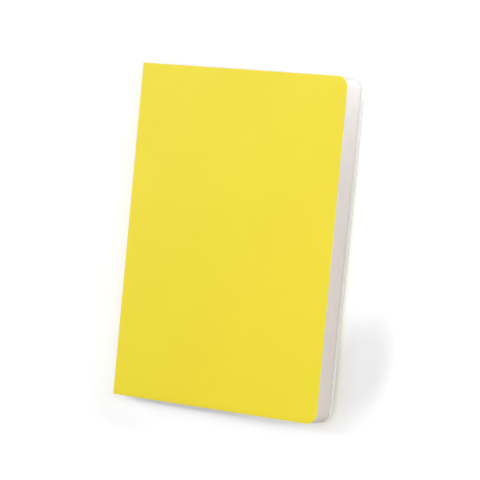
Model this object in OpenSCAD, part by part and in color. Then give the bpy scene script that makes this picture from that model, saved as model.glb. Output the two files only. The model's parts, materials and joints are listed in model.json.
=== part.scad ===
// Soft-cover notebook with a square glued spine, lying on its back cover.
// X runs from the spine to the fore-edge, Y from tail to head, and Z up.
// The cover is one folded card: it is parted only at its two folds, where it turns.

/* [Cover] */
// Width of each cover, from the outside of the spine to the fore-edge
cover_w = 148; // [80:1:220]
// Height of the covers and of the pages, from tail to head
cover_h = 210; // [100:1:310]
// Radius of the two rounded corners at the fore-edge
corner_r = 7; // [1:0.5:15]
// Thickness of the cover card
card_t = 0.4; // [0.25:0.05:0.8]

/* [Pages] */
// Thickness of the block of pages
block_t = 15.4; // [4:0.2:30]

/* [Spine] */
// Thickness of the glue between the pages and the spine of the cover
glue_t = 0.5; // [0.3:0.1:1.5]

/* [Rest] */
// Angle by which the back cover stands off the pages, in degrees
splay = 2.4; // [0.2:0.1:6]

/* [Clearances] */
// Gap between each cover and the pages when it is closed on them
page_gap = 0.1; // [0.05:0.05:0.3]
// Gap between the spine of the cover and the round of each fold
fold_gap = 0.03; // [0.02:0.01:0.1]

/* [Hidden] */
$fn = 64;

// Thickness of the closed notebook
closed_t = 2 * (card_t + page_gap) + block_t;
// Radius of each fold, whose centre line is what the cover turns about
fold_r = card_t / 2;
// Height of the upper fold's centre line over the lower one's, when closed
fold_rise = closed_t - card_t;
// How far the upper fold leans out past the lower one at rest
lean = fold_rise * sin(splay);
// Middle of the whole notebook, which is over the origin
middle_x = (cover_w - lean) / 2;
// What cuts through a piece passes its faces by this much
past = 1;

// Outline of a cover or a page: square at the spine, rounded at the fore-edge.
module leaf_outline() {
    corner_x = cover_w - corner_r;
    corner_y = cover_h / 2 - corner_r;
    translate([0, -cover_h / 2]) square([corner_x, cover_h]);
    translate([0, -corner_y]) square([cover_w, 2 * corner_y]);
    for (side = [-1, 1])
        translate([corner_x, side * corner_y]) circle(r = corner_r);
}

// Section of a cover across its width: flat card that ends in the round of its fold.
module card_section() {
    translate([fold_r, fold_r]) circle(r = fold_r);
    translate([fold_r, 0]) square([cover_w + past, card_t]);
}

// One cover, lying on its outer or inner face with its fold along Y.
module cover_card() {
    intersection() {
        linear_extrude(card_t) leaf_outline();
        rotate([90, 0, 0])
            linear_extrude(cover_h + past, center = true) card_section();
    }
}

// Places a piece of the closed notebook as it rests, turned up about the lower fold.
module at_rest() {
    translate([fold_r - middle_x, 0, fold_r])
        rotate([0, -splay, 0])
            translate([-fold_r, 0, -fold_r]) children();
}

module back_cover() {
    color("gold") translate([-middle_x, 0, 0]) cover_card();
}

module spine_panel() {
    spine_h = closed_t - 2 * (card_t + fold_gap);
    color("gold")
        at_rest()
            translate([0, -cover_h / 2, card_t + fold_gap])
                cube([card_t, cover_h, spine_h]);
}

module spine_glue() {
    color("oldlace")
        at_rest()
            translate([card_t, -cover_h / 2, card_t + page_gap])
                cube([glue_t, cover_h, block_t]);
}

module page_block() {
    color("ivory")
        at_rest()
            translate([0, 0, card_t + page_gap])
                linear_extrude(block_t)
                    intersection() {
                        leaf_outline();
                        translate([card_t + glue_t, -cover_h / 2])
                            square([cover_w, cover_h]);
                    }
}

module front_cover() {
    color("gold")
        at_rest() translate([0, 0, closed_t - card_t]) cover_card();
}

back_cover();
spine_panel();
spine_glue();
page_block();
front_cover();
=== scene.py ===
import json
import math
import random

import bpy
from mathutils import Matrix, Vector, noise


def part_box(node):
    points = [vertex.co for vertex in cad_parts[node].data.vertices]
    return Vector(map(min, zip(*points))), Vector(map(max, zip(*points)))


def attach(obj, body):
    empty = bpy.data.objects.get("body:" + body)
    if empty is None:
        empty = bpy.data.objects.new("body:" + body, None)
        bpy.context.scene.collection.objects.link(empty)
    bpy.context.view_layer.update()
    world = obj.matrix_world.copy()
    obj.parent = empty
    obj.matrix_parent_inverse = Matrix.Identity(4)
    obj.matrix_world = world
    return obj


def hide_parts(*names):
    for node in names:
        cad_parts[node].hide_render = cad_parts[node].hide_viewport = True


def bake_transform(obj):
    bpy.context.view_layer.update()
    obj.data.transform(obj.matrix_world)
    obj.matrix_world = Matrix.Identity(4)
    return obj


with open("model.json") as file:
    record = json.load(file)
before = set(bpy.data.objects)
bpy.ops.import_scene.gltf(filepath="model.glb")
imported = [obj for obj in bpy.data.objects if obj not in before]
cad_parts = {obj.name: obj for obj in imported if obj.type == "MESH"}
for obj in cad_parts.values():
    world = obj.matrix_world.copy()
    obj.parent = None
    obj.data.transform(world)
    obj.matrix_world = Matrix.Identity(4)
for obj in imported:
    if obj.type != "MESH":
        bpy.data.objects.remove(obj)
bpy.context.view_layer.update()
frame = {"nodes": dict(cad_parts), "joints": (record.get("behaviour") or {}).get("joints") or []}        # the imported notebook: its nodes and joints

mm = 0.001
print("frame loaded")


# the two folds' centre lines give the notebook's own directions, tilted as it lies on its back cover
foldLines = {joint["name"]: Vector(joint["pos_m"]) for joint in frame["joints"]}
lowerFold = foldLines["back_cover_hinge"]
upperFold = foldLines["front_cover_hinge"]
upFromBack = (upperFold - lowerFold).normalized()
acrossPages = Vector((upFromBack.z, 0.0, -upFromBack.x))
alongSpine = Vector((0.0, 1.0, 0.0))

# sizes of the cover, read from the flat back cover
cardLow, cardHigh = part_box("back_cover")
cardThickness = cardHigh.z - cardLow.z
foldRadius = cardThickness / 2
coverWidth = cardHigh.x - lowerFold.x + foldRadius
coverHeight = cardHigh.y - cardLow.y
closedThickness = (upperFold - lowerFold).length + cardThickness
foreEdge = [vertex.co for vertex in frame["nodes"]["back_cover"].data.vertices
            if vertex.co.x > cardHigh.x - 0.01 * mm]
cornerRadius = coverHeight / 2 - max(abs(place.y) for place in foreEdge)


def inNotebook(x, y, z):
    # x from the outside of the spine, y from mid-height, z from the underside of the closed notebook
    return lowerFold + acrossPages * (x - foldRadius) + alongSpine * y + upFromBack * (z - foldRadius)


def reachOf(nodeName, direction):
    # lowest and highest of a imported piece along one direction, counted as inNotebook counts
    node = frame["nodes"][nodeName]
    places = [(vertex.co - lowerFold).dot(direction) + foldRadius for vertex in node.data.vertices]
    return min(places), max(places)


# leaves: a cover or a sheet is a grid of columns, from the spine to the fore-edge, and of rows, from the
# tail to the head
def leafColumns(startX, flatSteps, cornerSteps):
    # even columns up to the rounded corners, then closer ones round them
    endX = coverWidth - cornerRadius
    columns = [(startX + (endX - startX) * step / flatSteps, None) for step in range(flatSteps)]
    return columns + [(endX, math.pi / 2 * step / cornerSteps) for step in range(cornerSteps + 1)]


def leafPlace(column, rowShare, inset):
    # rowShare runs from -1 at the tail to 1 at the head, and inset is in from the trimmed outline
    x, cornerTurn = column
    halfHeight = coverHeight / 2 - inset
    if cornerTurn is not None:
        x += (cornerRadius - inset) * math.sin(cornerTurn)
        halfHeight -= (cornerRadius - inset) * (1 - math.cos(cornerTurn))
    return x, rowShare * halfHeight


def leafRim(columnCount, rowCount):
    # the outline's places as (column, row), from the spine at the tail round to the spine at the head
    last = columnCount - 1
    tail = [(column, 0) for column in range(columnCount)]
    fore = [(last, row) for row in range(1, rowCount)]
    head = [(column, rowCount) for column in range(last, -1, -1)]
    return tail + fore + head


def rowShareOf(row, rowCount):
    return 2 * row / rowCount - 1


# materials
def startMaterial(name, colour, roughness):
    material = bpy.data.materials.new(name)
    material.use_nodes = True
    tree = material.node_tree
    shader = tree.nodes["Principled BSDF"]
    shader.inputs["Base Color"].default_value = (*colour, 1)
    shader.inputs["Roughness"].default_value = roughness
    return material, tree, shader


def addNoise(tree, scale, detail, stretch=(1, 1, 1)):
    # noise in the notebook's own metres, so a scale of 1000 has features about a millimetre wide
    coordinates = tree.nodes.new("ShaderNodeTexCoord")
    mapping = tree.nodes.new("ShaderNodeMapping")
    mapping.inputs["Scale"].default_value = stretch
    texture = tree.nodes.new("ShaderNodeTexNoise")
    texture.inputs["Scale"].default_value = scale
    texture.inputs["Detail"].default_value = detail
    tree.links.new(coordinates.outputs["Object"], mapping.inputs["Vector"])
    tree.links.new(mapping.outputs["Vector"], texture.inputs["Vector"])
    return texture.outputs["Fac"]


def addColourDrift(tree, shader, field, colours, span):
    # slow change between two near colours where the noise goes from low to high
    ramp = tree.nodes.new("ShaderNodeValToRGB")
    for element, place, colour in zip(ramp.color_ramp.elements, span, colours):
        element.position = place
        element.color = (*colour, 1)
    tree.links.new(field, ramp.inputs["Fac"])
    tree.links.new(ramp.outputs["Color"], shader.inputs["Base Color"])


noiseSpan = (0.3, 0.7)          # most of a noise field's values lie between these


def addRoughnessDrift(tree, shader, field, low, high):
    spread = tree.nodes.new("ShaderNodeMapRange")
    spread.inputs["From Min"].default_value = noiseSpan[0]
    spread.inputs["From Max"].default_value = noiseSpan[1]
    spread.inputs["To Min"].default_value = low
    spread.inputs["To Max"].default_value = high
    tree.links.new(field, spread.inputs["Value"])
    tree.links.new(spread.outputs["Result"], shader.inputs["Roughness"])


def addGrain(tree, shader, layers):
    # bumps on bumps: each layer is a noise field, the depth of its grain and its strength
    normal = None
    for field, depth, strength in layers:
        bump = tree.nodes.new("ShaderNodeBump")
        bump.inputs["Distance"].default_value = depth
        bump.inputs["Strength"].default_value = strength
        tree.links.new(field, bump.inputs["Height"])
        if normal:
            tree.links.new(normal, bump.inputs["Normal"])
        normal = bump.outputs["Normal"]
    tree.links.new(normal, shader.inputs["Normal"])


coatedLook = {
    "yellow": (0.84, 0.69, 0.022),
    "yellowDeep": (0.825, 0.675, 0.019),
    "driftSpan": (0.35, 0.65),          # where in the noise the colour goes from one to the other
    "roughness": (0.36, 0.43),
    "specular": 0.45,
    "cloudScale": 24,                   # slow drift of the print, per metre
    "fibreScale": 1400,                 # card fibres under the coating
    "fibreStretch": (1, 0.35, 1),
    "fibreGrain": (0.010 * mm, 0.5),    # depth and strength of the bumps
    "pressScale": 5200,                 # finest grain of the coating
    "pressGrain": (0.004 * mm, 0.5),
}


def coatedCard():
    # the printed outside: smooth yellow with a low satin sheen and a trace of fibre
    look = coatedLook
    material, tree, shader = startMaterial("yellowCard", look["yellow"], look["roughness"][0])
    shader.inputs["Specular IOR Level"].default_value = look["specular"]
    clouds = addNoise(tree, look["cloudScale"], 3)
    fibres = addNoise(tree, look["fibreScale"], 4, look["fibreStretch"])
    press = addNoise(tree, look["pressScale"], 2)
    addColourDrift(tree, shader, clouds, (look["yellowDeep"], look["yellow"]), look["driftSpan"])
    addRoughnessDrift(tree, shader, fibres, *look["roughness"])
    addGrain(tree, shader, ((fibres, *look["fibreGrain"]), (press, *look["pressGrain"])))
    return material


insideLook = {
    "white": (0.92, 0.915, 0.90),
    "whiteShade": (0.89, 0.885, 0.865),
    "driftSpan": (0.3, 0.6),
    "roughness": 0.85,
    "specular": 0.25,
    "fibreScale": 900,
    "fibreStretch": (1, 0.3, 1),
    "fibreGrain": (0.02 * mm, 0.5),
}


def insideCard():
    # the unprinted inside: matt white board with loose fibres
    look = insideLook
    material, tree, shader = startMaterial("whiteCardInside", look["white"], look["roughness"])
    shader.inputs["Specular IOR Level"].default_value = look["specular"]
    fibres = addNoise(tree, look["fibreScale"], 5, look["fibreStretch"])
    addColourDrift(tree, shader, fibres, (look["whiteShade"], look["white"]), look["driftSpan"])
    addGrain(tree, shader, ((fibres, *look["fibreGrain"]),))
    return material


cutLook = {
    # darker and warmer than the white inside: the rough board's own tone, plus painted shade on the thin
    # cut edge
    "board": (0.65, 0.60, 0.52),
    "boardShade": (0.55, 0.50, 0.43),
    "driftSpan": (0.3, 0.6),
    "roughness": 0.9,
    "specular": 0.2,
    "fibreScale": 3000,
    "fibreStretch": (0.4, 0.4, 2),
    "fibreGrain": (0.03 * mm, 0.6),
}


def cutCard():
    # the cut edge shows the board between its faces, in the rough board's own tone darkened to a warm
    # grey as painted shade
    look = cutLook
    material, tree, shader = startMaterial("cutCardEdge", look["board"], look["roughness"])
    shader.inputs["Specular IOR Level"].default_value = look["specular"]
    fibres = addNoise(tree, look["fibreScale"], 4, look["fibreStretch"])
    addColourDrift(tree, shader, fibres, (look["boardShade"], look["board"]), look["driftSpan"])
    addGrain(tree, shader, ((fibres, *look["fibreGrain"]),))
    return material


paperLook = {
    "page": (0.90, 0.885, 0.85),
    "pageShade": (0.888, 0.872, 0.832),
    "driftSpan": (0.3, 0.6),
    "roughness": 0.9,
    "specular": 0.25,
    "formationScale": 160,              # cloudy look-through of the sheet
    "toothScale": 2600,                 # feel of the uncoated face
    "toothGrain": (0.012 * mm, 0.5),
}


def pagePaper():
    look = paperLook
    material, tree, shader = startMaterial("pagePaper", look["page"], look["roughness"])
    shader.inputs["Specular IOR Level"].default_value = look["specular"]
    formation = addNoise(tree, look["formationScale"], 4)
    tooth = addNoise(tree, look["toothScale"], 3)
    addColourDrift(tree, shader, formation, (look["pageShade"], look["page"]), look["driftSpan"])
    addGrain(tree, shader, ((tooth, *look["toothGrain"]),))
    return material


edgeLook = {
    # darker and warmer than the page faces: the trimmed edges' own tone, plus painted shade between the
    # sheets
    "edge": (0.725, 0.665, 0.62),
    "edgeShade": (0.655, 0.595, 0.55),
    "driftSpan": (0.32, 0.56),
    "roughness": 0.95,
    "specular": 0.15,
    "bundleScale": 4200,
    "bundleStretch": (0.06, 0.06, 1),   # streaks run along the sheets and change from sheet to sheet
    "burrScale": 6000,                  # what the trimming knife leaves
    "burrStretch": (0.3, 0.3, 1),
    "burrGrain": (0.02 * mm, 0.4),
}


def pageEdges():
    look = edgeLook
    material, tree, shader = startMaterial("trimmedPageEdges", look["edge"], look["roughness"])
    shader.inputs["Specular IOR Level"].default_value = look["specular"]
    bundles = addNoise(tree, look["bundleScale"], 3, look["bundleStretch"])
    burr = addNoise(tree, look["burrScale"], 2, look["burrStretch"])
    addColourDrift(tree, shader, bundles, (look["edgeShade"], look["edge"]), look["driftSpan"])
    addGrain(tree, shader, ((burr, *look["burrGrain"]),))
    return material


glueLook = {
    "milky": (0.80, 0.75, 0.62),
    "thin": (0.74, 0.68, 0.53),
    "thick": (0.82, 0.78, 0.66),
    "driftSpan": (0.35, 0.65),
    "roughness": 0.4,
    "roughnessDrift": (0.32, 0.5),
    "scatter": 0.25,                    # how waxy it is, and how deep light goes in
    "scatterDepth": 0.5 * mm,
    "rippleScale": 420,
    "rippleGrain": (0.05 * mm, 0.5),
}


def bindingGlue():
    # set hot glue: milky, a little waxy, with a faint ripple
    look = glueLook
    material, tree, shader = startMaterial("bindingGlue", look["milky"], look["roughness"])
    shader.inputs["Subsurface Weight"].default_value = look["scatter"]
    shader.inputs["Subsurface Scale"].default_value = look["scatterDepth"]
    ripple = addNoise(tree, look["rippleScale"], 3)
    addColourDrift(tree, shader, ripple, (look["thin"], look["thick"]), look["driftSpan"])
    addRoughnessDrift(tree, shader, ripple, *look["roughnessDrift"])
    addGrain(tree, shader, ((ripple, *look["rippleGrain"]),))
    return material


yellowCard = coatedCard()
whiteInside = insideCard()
cutEdge = cutCard()
paper = pagePaper()
trimmedEdges = pageEdges()
glue = bindingGlue()
print("materials made")


def finishMesh(name, vertices, faces, materials, faceMaterials, sharpAngle):
    mesh = bpy.data.meshes.new(name)
    mesh.from_pydata(vertices, [], faces)
    for material in materials:
        mesh.materials.append(material)
    mesh.polygons.foreach_set("material_index", faceMaterials)
    mesh.validate()
    mesh.shade_smooth()
    mesh.set_sharp_from_angle(angle=math.radians(sharpAngle))
    piece = bpy.data.objects.new(name, mesh)
    bpy.context.scene.collection.objects.link(piece)
    return piece


# the cover: one folded card, made as two halves that meet along the middle of the spine
cardShape = {
    "foldOutside": 0.55 * mm,   # radius of each fold, outside the card
    "spineSteps": 6,
    "foldSteps": 11,            # odd, so that no place lies at the middle of the fold, where it parts
    "panelSteps": 46,
    "cornerSteps": 14,
    "rows": 56,
    "edgeRound": 0.07 * mm,     # softening of the cut edge
    "edgeSteps": 3,
    "sharpAngle": 50,           # in degrees: edges sharper than this aren't smoothed
}


def cardStations(corner, spineWay, panelWay, spineIn, spineLength):
    # places across the card from mid-spine to the fore-edge, each with its outer face and outward way
    look = cardShape
    turn = spineWay.angle(panelWay)
    tangent = look["foldOutside"] * math.tan(turn / 2)
    centre = corner - spineWay * tangent + spineIn * look["foldOutside"]
    stations = []
    for step in range(look["spineSteps"]):
        along = spineLength + (tangent - spineLength) * step / look["spineSteps"]
        stations.append({"outer": corner - spineWay * along, "outward": -spineIn, "column": (0, None)})
    for step in range(look["foldSteps"]):
        angle = turn * step / look["foldSteps"]
        outward = -spineIn * math.cos(angle) + spineWay * math.sin(angle)
        outer = centre + outward * look["foldOutside"]
        stations.append({"outer": outer, "outward": outward, "column": (0, None)})
    panelOut = -spineIn * math.cos(turn) + spineWay * math.sin(turn)
    for column in leafColumns(tangent, look["panelSteps"], look["cornerSteps"]):
        stations.append({"outer": None, "outward": panelOut, "column": column})
    return stations


def makeCardHalf(name, corner, spineWay, panelWay, bow):
    # corner is where the outer faces of spine and cover would meet if the fold had no radius
    look = cardShape
    spineMiddle = inNotebook(0, 0, closedThickness / 2)
    stations = cardStations(corner, spineWay, panelWay, acrossPages, (corner - spineMiddle).length)
    rows = look["rows"]
    vertices = []

    def addVertex(station, row, inset, depth):
        x, y = leafPlace(station["column"], rowShareOf(row, rows), inset)
        outer = station["outer"] or corner + panelWay * x
        lift = bow(x, y) if station["outer"] is None else 0
        vertices.append(outer + alongSpine * y + station["outward"] * (lift - depth))
        return len(vertices) - 1

    soft = look["edgeRound"]
    outside = [[addVertex(station, row, soft, 0) for row in range(rows + 1)] for station in stations]
    inside = [[addVertex(station, row, soft, cardThickness) for row in range(rows + 1)]
              for station in stations]
    rim = leafRim(len(stations), rows)
    rings = [[outside[column][row] for column, row in rim]]
    turns = [math.pi / 2 * step / look["edgeSteps"] for step in range(1, look["edgeSteps"] + 1)]
    profile = [(soft * (1 - math.sin(turn)), soft * (1 - math.cos(turn))) for turn in turns]
    profile += [(inset, cardThickness - depth) for inset, depth in reversed(profile)]
    for inset, depth in profile:
        rings.append([addVertex(stations[column], row, inset, depth) for column, row in rim])
    rings.append([inside[column][row] for column, row in rim])

    faces = []
    faceMaterials = []
    for column in range(len(stations) - 1):
        for row in range(rows):
            around = ((column, row), (column + 1, row), (column + 1, row + 1), (column, row + 1))
            faces.append([outside[c][r] for c, r in around])
            faces.append([inside[c][r] for c, r in reversed(around)])
            faceMaterials += [0, 2]
    for level in range(len(rings) - 1):
        for place in range(len(rim) - 1):
            faces.append([rings[level][place + 1], rings[level][place],
                          rings[level + 1][place], rings[level + 1][place + 1]])
            faceMaterials.append(0 if level < look["edgeSteps"] - 1 else 1)
    # the end at mid-spine, where the two halves of the card meet
    for row in range(rows):
        faces.append([outside[0][row + 1], outside[0][row], inside[0][row], inside[0][row + 1]])
        faceMaterials.append(1)
    faces.append([ring[0] for ring in rings])
    faces.append([ring[-1] for ring in reversed(rings)])
    faceMaterials += [1, 1]
    return finishMesh(name, vertices, faces, (yellowCard, cutEdge, whiteInside), faceMaterials,
                      look["sharpAngle"])


frontBow = {
    "springOff": (0.55 * mm, 0.10 * mm),    # how far the fore-edge springs off, at the head and the tail
    "ripple": 0.05 * mm,
    "rippleScale": 14,
    "rippleSeed": 0.31,
}


def bowOfFront(x, y):
    across = x / coverWidth
    ripple = noise.noise(Vector((x, y, frontBow["rippleSeed"])) * frontBow["rippleScale"])
    atHead, atTail = frontBow["springOff"]
    springOff = atHead + (atTail - atHead) * (0.5 - y / coverHeight)
    return springOff * across ** 3 + frontBow["ripple"] * across * (1 + ripple)


backBow = {
    "tailLift": 3.5 * mm,       # how far the bowed card comes up at its tail corner
    "ripple": 0.06 * mm,
    "rippleScale": 11,
    "rippleSeed": 0.77,
}


def bowOfBack(x, y):
    # this cover's outside faces down, so coming up is inward; its head corner stays on the table
    across = x / coverWidth
    towardTail = 0.5 - y / coverHeight
    ripple = noise.noise(Vector((x, y, backBow["rippleSeed"])) * backBow["rippleScale"])
    lift = backBow["tailLift"] * across ** 2 * towardTail
    return -lift - backBow["ripple"] * across * (1 + ripple)


frontCorner = inNotebook(0, 0, closedThickness)
spineFoot = inNotebook(0, 0, 0)
backCorner = spineFoot - upFromBack * ((spineFoot.z - cardLow.z) / upFromBack.z)
coverFront = makeCardHalf("coverFront", frontCorner, upFromBack, acrossPages, bowOfFront)
coverBack = makeCardHalf("coverBack", backCorner, -upFromBack, Vector((1, 0, 0)), bowOfBack)
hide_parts("front_cover", "spine_panel")
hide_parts("back_cover", "spine_panel")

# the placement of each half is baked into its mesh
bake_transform(coverFront)
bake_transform(coverBack)
print("cover made")


# the pages: one trimmed block whose every sheet shows at its edges
pageShape = {
    "sheets": 150,
    "flatSteps": 20,
    "cornerSteps": 10,
    "rows": 28,
    "trim": 0.03 * mm,          # the pages end this far inside the cover's edge
    "sheetSway": 0.03 * mm,     # sheet to sheet
    "bundleSway": 0.10 * mm,    # slower drift through the block
    "bundleStep": (0.11, 0.09, 0.07),       # how fast it changes by column, by row and by sheet
    "sheetBody": (0.12, 0.88),  # a sheet's own share of its place in the block, between two notches
    "groove": 0.07 * mm,        # depth of the notch between two sheets
    "grooveSpread": (0.7, 1.3),
    "gapDepth": 6,              # a gap under a hanging sheet reaches in this many times its height
    "fan": 1.0 * mm,            # the block is looser at the head and tighter at the tail by this
    "fanPower": 1.6,            # how late across the page the fan opens
    "droop": (0.55 * mm, 0.22 * mm, 0.08 * mm),     # the lowest sheets hang a little apart
    "sharpAngle": 35,
    "seed": 11,
}


def makePages():
    look = pageShape
    rng = random.Random(look["seed"])
    startX = reachOf("page_block", acrossPages)[0]
    low, high = reachOf("page_block", upFromBack)
    columns = leafColumns(startX, look["flatSteps"], look["cornerSteps"])
    rows = look["rows"]
    rim = leafRim(len(columns), rows)
    vertices = []

    def addVertex(column, row, inset, sheetShare, hang):
        x, y = leafPlace(columns[column], rowShareOf(row, rows), inset)
        across = (x - startX) / (coverWidth - startX)
        fan = look["fan"] * across ** look["fanPower"] * math.sin(math.pi * y / coverHeight)
        z = low + (high - low) * sheetShare - fan * (1 - sheetShare) - hang * across ** 2
        vertices.append(inNotebook(x, y, z))
        return len(vertices) - 1

    def insetAt(place, sheet, sheetInset):
        steps = zip((*rim[place], sheet), look["bundleStep"])
        drift = noise.noise(Vector([count * step for count, step in steps]))
        return look["trim"] + sheetInset + look["bundleSway"] * (0.5 + drift)

    def addCap(sheetShare, hang):
        return [[addVertex(column, row, look["trim"], sheetShare, hang) for row in range(rows + 1)]
                for column in range(len(columns))]

    sheets = look["sheets"]
    outerFaces = ((0, look["sheetBody"][0]), (sheets - 1, look["sheetBody"][1]))
    hangs = list(look["droop"]) + [0] * sheets
    bottom = addCap(0, hangs[0])
    top = addCap(1, 0)
    rings = [[bottom[column][row] for column, row in rim]]
    for sheet in range(sheets):
        sheetInset = look["sheetSway"] * rng.random()
        hang = hangs[sheet]
        for share in look["sheetBody"]:
            if (sheet, share) in outerFaces:
                continue
            rings.append([addVertex(*rim[place], insetAt(place, sheet, sheetInset),
                                    (sheet + share) / sheets, hang) for place in range(len(rim))])
        if sheet < sheets - 1:
            gap = hang - hangs[sheet + 1]
            depth = sheetInset + look["groove"] * rng.uniform(*look["grooveSpread"])
            depth += gap * look["gapDepth"]
            rings.append([addVertex(*rim[place], insetAt(place, sheet, depth),
                                    (sheet + 1) / sheets, (hang + hangs[sheet + 1]) / 2)
                          for place in range(len(rim))])
    rings.append([top[column][row] for column, row in rim])

    faces = []
    faceMaterials = []
    for column in range(len(columns) - 1):
        for row in range(rows):
            around = ((column, row), (column + 1, row), (column + 1, row + 1), (column, row + 1))
            faces.append([top[c][r] for c, r in around])
            faces.append([bottom[c][r] for c, r in reversed(around)])
            faceMaterials += [0, 0]
    for level in range(len(rings) - 1):
        lower, upper = rings[level], rings[level + 1]
        for place in range(len(rim) - 1):
            faces.append([lower[place], lower[place + 1], upper[place + 1], upper[place]])
            faceMaterials.append(1)
        # the back of the block, against the glue; its first and last strips meet the flat pages
        back = [lower[0], upper[0], upper[-1], lower[-1]]
        if level == 0:
            back += [bottom[0][row] for row in range(rows - 1, 0, -1)]
        if level == len(rings) - 2:
            back[2:2] = [top[0][row] for row in range(1, rows)]
        faces.append(back)
        faceMaterials.append(1)
    return finishMesh("pages", vertices, faces, (paper, trimmedEdges), faceMaterials, look["sharpAngle"])


pages = makePages()
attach(pages, "book_block")
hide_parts("page_block")

glueLine = frame["nodes"]["spine_glue"]
glueLine.data.materials.clear()
glueLine.data.materials.append(glue)
print("pages made")


def seenDirectly(tree):
    # 1 where the camera, a reflection or clear glass looks, and 0 where light bounces
    rays = tree.nodes.new("ShaderNodeLightPath")
    first = tree.nodes.new("ShaderNodeMath")
    first.operation = "MAXIMUM"
    both = tree.nodes.new("ShaderNodeMath")
    both.operation = "MAXIMUM"
    tree.links.new(rays.outputs["Is Camera Ray"], first.inputs[0])
    tree.links.new(rays.outputs["Is Glossy Ray"], first.inputs[1])
    tree.links.new(first.outputs[0], both.inputs[0])
    tree.links.new(rays.outputs["Is Transmission Ray"], both.inputs[1])
    return both.outputs[0]


# the table top: pale, with the notebook's cast shadow on it and painted shadow in ovals of less glow
# beside it
tableLook = {
    "size": 12.0,
    "colour": (0.79, 0.79, 0.795),
    "glow": 0.74,               # brings the far table to white where the camera looks at it
    # ovals with less of it: each one's place, reach, turn in degrees, even share and depth; the first
    # evens the glow under the lamps, the other three are painted shadow
    "shades": (
        ((0, 0, 0), (1.7, 1.7, 1), 0, 0.25, 0.44),                          # under the lamps
        ((0.0860, -0.0713, 0), (0.0326, 0.0537, 1), -24.7, 0.30, 0.215),    # painted shadow by the fore-edge corner
        ((-0.0340, -0.1074, 0), (0.0560, 0.0026, 1), -0.5, 0.60, 0.115),    # painted contact shadow close under the edge
        ((-0.0773, -0.1207, 0), (0.0461, 0.0150, 1), -10.9, 0.25, 0.088),   # painted shade round the spine's corner
    ),
}


def addShade(tree, coordinates, place, reach, turn, evenShare, depth):
    # an oval that takes depth off the glow, evenly inside and fading out toward its rim; beside the
    # notebook this is painted shade on the table
    oval = tree.nodes.new("ShaderNodeMapping")
    oval.vector_type = "TEXTURE"
    oval.inputs["Location"].default_value = place
    oval.inputs["Rotation"].default_value = (0, 0, math.radians(turn))
    oval.inputs["Scale"].default_value = reach
    distance = tree.nodes.new("ShaderNodeVectorMath")
    distance.operation = "LENGTH"
    fade = tree.nodes.new("ShaderNodeMapRange")
    fade.interpolation_type = "SMOOTHSTEP"
    fade.inputs["From Min"].default_value = evenShare
    fade.inputs["From Max"].default_value = 1
    fade.inputs["To Min"].default_value = depth
    fade.inputs["To Max"].default_value = 0
    tree.links.new(coordinates.outputs["Object"], oval.inputs["Vector"])
    tree.links.new(oval.outputs["Vector"], distance.inputs[0])
    tree.links.new(distance.outputs["Value"], fade.inputs["Value"])
    return fade.outputs["Result"]


def makeTable():
    look = tableLook
    half = look["size"] / 2
    mesh = bpy.data.meshes.new("tableTop")
    mesh.from_pydata([(-half, -half, 0), (half, -half, 0), (half, half, 0), (-half, half, 0)],
                     [], [(0, 1, 2, 3)])
    table = bpy.data.objects.new("tableTop", mesh)
    bpy.context.scene.collection.objects.link(table)
    material = bpy.data.materials.new("paleTable")
    material.use_nodes = True
    tree = material.node_tree
    tree.nodes.clear()
    matt = tree.nodes.new("ShaderNodeBsdfDiffuse")
    matt.inputs["Color"].default_value = (*look["colour"], 1)
    coordinates = tree.nodes.new("ShaderNodeTexCoord")
    level = None
    for shade in look["shades"]:
        less = tree.nodes.new("ShaderNodeMath")
        less.operation = "SUBTRACT"
        less.inputs[0].default_value = look["glow"]
        if level:
            tree.links.new(level, less.inputs[0])
        tree.links.new(addShade(tree, coordinates, *shade), less.inputs[1])
        level = less.outputs[0]
    glow = tree.nodes.new("ShaderNodeEmission")
    amount = tree.nodes.new("ShaderNodeMath")
    amount.operation = "MULTIPLY"
    both = tree.nodes.new("ShaderNodeAddShader")
    output = tree.nodes.new("ShaderNodeOutputMaterial")
    tree.links.new(seenDirectly(tree), amount.inputs[0])
    tree.links.new(level, amount.inputs[1])
    tree.links.new(amount.outputs[0], glow.inputs["Strength"])
    tree.links.new(matt.outputs[0], both.inputs[0])
    tree.links.new(glow.outputs[0], both.inputs[1])
    tree.links.new(both.outputs[0], output.inputs["Surface"])
    mesh.materials.append(material)


lightLook = {
    "roomStrength": 0.335,
    "roomColour": (1.0, 0.995, 0.985),
    # each lamp: its place, what it points at, its size across, its power and its colour
    "lamps": {
        "softboxRight": ((0.60, 0.10, 1.05), (0, 0, 0), 1.00, 5.55, (1.0, 1.0, 1.0)),
        "lowBoxRight": ((0.85, 0.05, 0.50), (0, 0, 0), 0.12, 2.55, (1.0, 1.0, 1.0)),
        "softboxLeft": ((-0.90, 0.40, 0.50), (0, 0, 0), 0.30, 2.45, (1.0, 1.0, 1.0)),
        "stripLeft": ((-0.75, 0.03, 0.63), (0, 0, 0), 0.12, 0.62, (1.0, 1.0, 1.0)),
        "sheenLamp": ((-0.52, 0.30, 1.20), (0, 0, 0), 0.30, 1.5, (0.97, 0.985, 1.0)),
        "topLamp": ((-0.02, 0.22, 1.20), (0, 0, 0), 0.08, 0.94, (0.97, 0.985, 1.0)),
        "smallLampHead": (
            (0.125, 0.150, 0.022), (0.075, 0.095, 0.010), 0.03, 0.042, (0.70, 0.86, 1.0)),
    },
}


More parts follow.
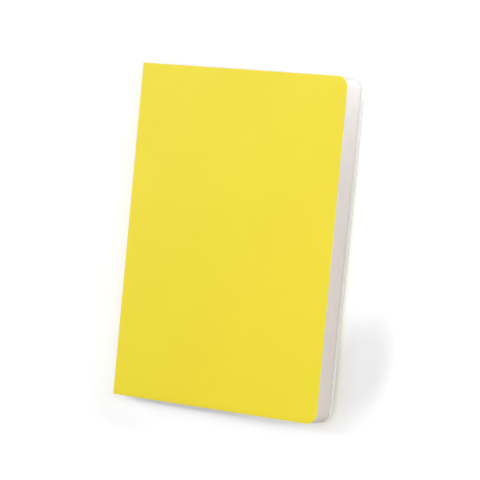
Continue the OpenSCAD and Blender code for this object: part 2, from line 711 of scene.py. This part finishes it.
def makeLights():
    look = lightLook
    for name, (place, target, size, power, colour) in look["lamps"].items():
        light = bpy.data.lights.new(name, "AREA")
        light.shape = "DISK"
        light.size = size
        light.energy = power
        light.color = colour
        lamp = bpy.data.objects.new(name, light)
        lamp.location = place
        lamp.rotation_euler = (Vector(target) - Vector(place)).to_track_quat("-Z", "Y").to_euler()
        lamp.visible_camera = False
        bpy.context.scene.collection.objects.link(lamp)

    world = bpy.data.worlds.new("studio")
    bpy.context.scene.world = world
    world.use_nodes = True
    tree = world.node_tree
    tree.nodes.clear()
    room = tree.nodes.new("ShaderNodeBackground")
    room.inputs["Color"].default_value = (*look["roomColour"], 1)
    room.inputs["Strength"].default_value = look["roomStrength"]
    backdrop = tree.nodes.new("ShaderNodeBackground")
    backdrop.inputs["Color"].default_value = (1, 1, 1, 1)
    backdrop.inputs["Strength"].default_value = 1
    choose = tree.nodes.new("ShaderNodeMixShader")
    output = tree.nodes.new("ShaderNodeOutputWorld")
    tree.links.new(seenDirectly(tree), choose.inputs["Fac"])
    tree.links.new(room.outputs[0], choose.inputs[1])
    tree.links.new(backdrop.outputs[0], choose.inputs[2])
    tree.links.new(choose.outputs[0], output.inputs["Surface"])


# the camera stands over the cover, on the fore-edge side, and is turned a little
cameraLook = {
    "acrossFromSpine": 0.8339,
    "towardHead": 0.0453,
    "overCover": 1.2468,
    "lookWay": (-0.51568, -0.03074, -0.85623),     # across, toward the head, up from the cover
    "topWay": (-0.09535, 0.99521, 0.02169),
    "lens": 178.1,
    "sensor": 36.0,
}


def makeCamera():
    look = cameraLook
    axes = (acrossPages, alongSpine, upFromBack)
    ahead = sum((axis * part for axis, part in zip(axes, look["lookWay"])), Vector()).normalized()
    top = sum((axis * part for axis, part in zip(axes, look["topWay"])), Vector())
    right = ahead.cross(top).normalized()
    top = right.cross(ahead)
    camera = bpy.data.cameras.new("camera")
    camera.lens = look["lens"]
    camera.sensor_width = look["sensor"]
    stand = bpy.data.objects.new("camera", camera)
    place = inNotebook(look["acrossFromSpine"], look["towardHead"], closedThickness + look["overCover"])
    turn = Matrix((right, top, -ahead)).transposed().to_4x4()
    stand.matrix_world = Matrix.Translation(place) @ turn
    bpy.context.scene.collection.objects.link(stand)
    bpy.context.scene.camera = stand


makeTable()
makeLights()
makeCamera()
bpy.context.scene.view_settings.view_transform = "Standard"
print("table, lights and camera set")
